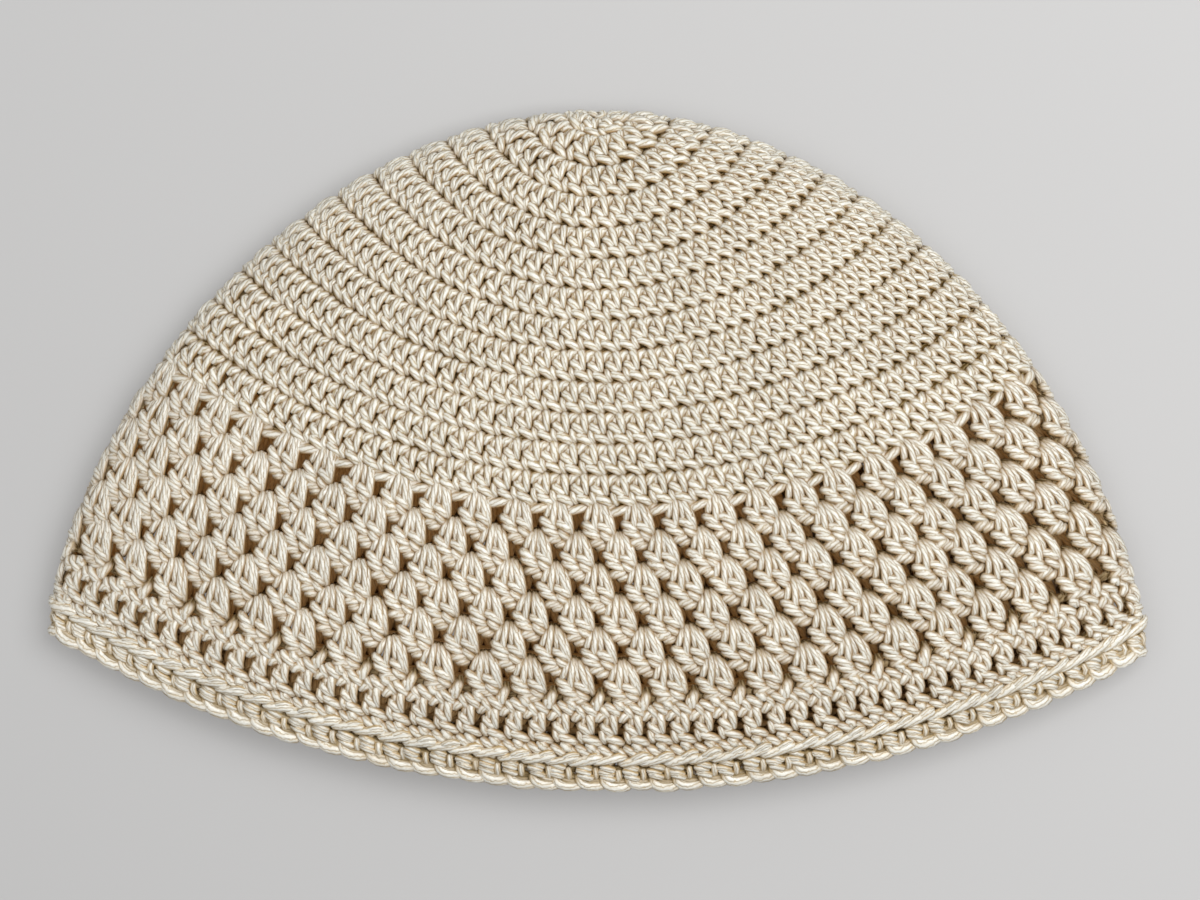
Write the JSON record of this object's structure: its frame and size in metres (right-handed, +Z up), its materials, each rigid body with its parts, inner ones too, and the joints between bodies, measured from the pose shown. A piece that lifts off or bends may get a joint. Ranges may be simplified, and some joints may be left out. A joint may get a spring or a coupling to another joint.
{
  "type": "crocheted kufi cap",
  "caption": "Crocheted kufi cap lying folded flat: dense domed crown, pierced band of fan clusters, spaced border, ridged rim and an open mouth for the head.",
  "frame": {"origin": "on the surface that the cap lies on, under the middle of its outline", "axes": "+X from the left fold to the right fold, +Y towards the crown with the mouth at -Y, +Z up from the surface"},
  "size_m": [0.2708, 0.1668, 0.026],
  "materials": {
    "crown_yarn": "cream satin cotton yarn in dense double crochet",
    "band_yarn": "cream satin cotton yarn in fan clusters with gaps",
    "border_yarn": "cream satin cotton yarn in single and spaced double crochet",
    "rim_yarn": "cream satin cotton yarn in a chain ridge and edging"
  },
  "bodies": {
    "root": {"crown": "crown_yarn", "openwork_band": "band_yarn", "border_band": "border_yarn", "rim_edging": "rim_yarn"}
  },
  "joints": []
}
